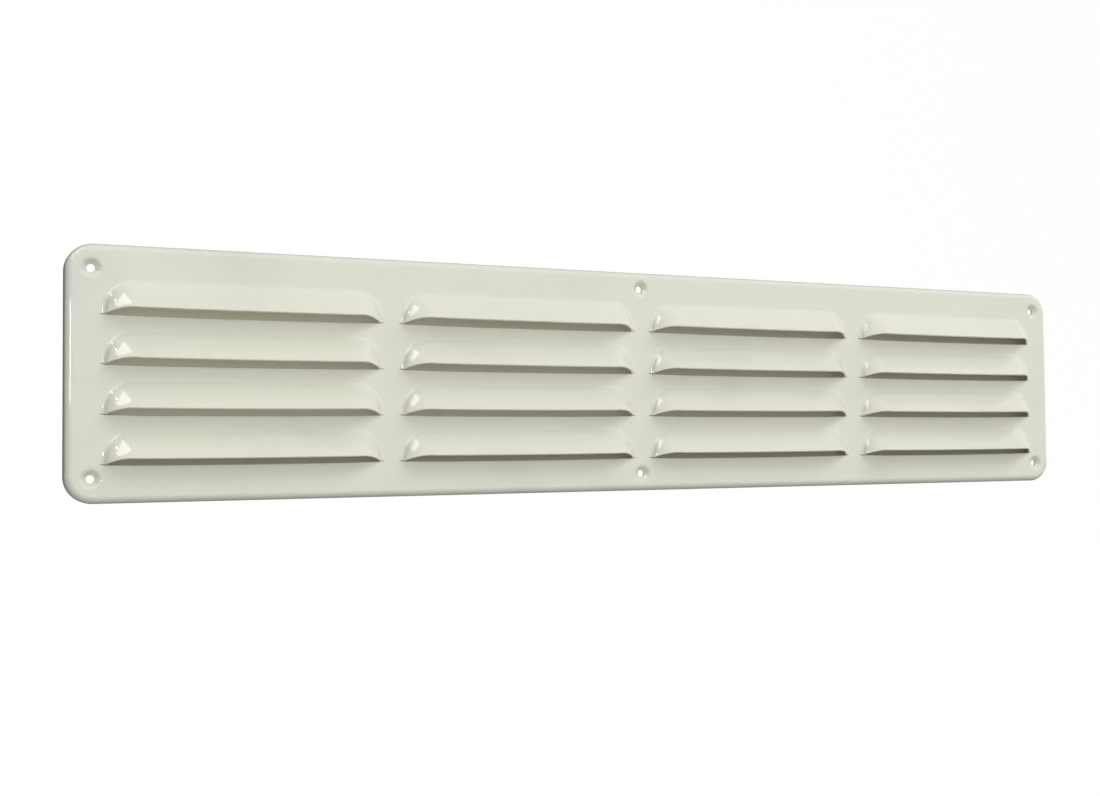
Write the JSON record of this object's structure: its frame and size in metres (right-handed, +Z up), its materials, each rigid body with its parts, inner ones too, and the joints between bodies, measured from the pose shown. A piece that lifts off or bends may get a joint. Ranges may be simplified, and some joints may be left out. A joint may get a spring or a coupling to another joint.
{
  "type": "ventilation grille",
  "caption": "Rectangular wall vent plate pressed from one painted sheet, with a rolled edge, rounded corners, slanted hoods over horizontal slits and dished screw holes",
  "frame": {"origin": "middle of the plate's outline, on the wall plane that the back edge of its rolled rim lies on", "axes": "+X runs along the plate's length, to the right seen from the front; the face looks along -Y and the wall lies on the +Y side; +Z is up, and the hoods open downwards"},
  "size_m": [0.5, 0.0165, 0.1],
  "materials": {
    "painted_sheet": "smooth glossy off-white stove enamel on thin metal sheet"
  },
  "bodies": {
    "root": {"louvre_plate": "painted_sheet"}
  },
  "joints": []
}
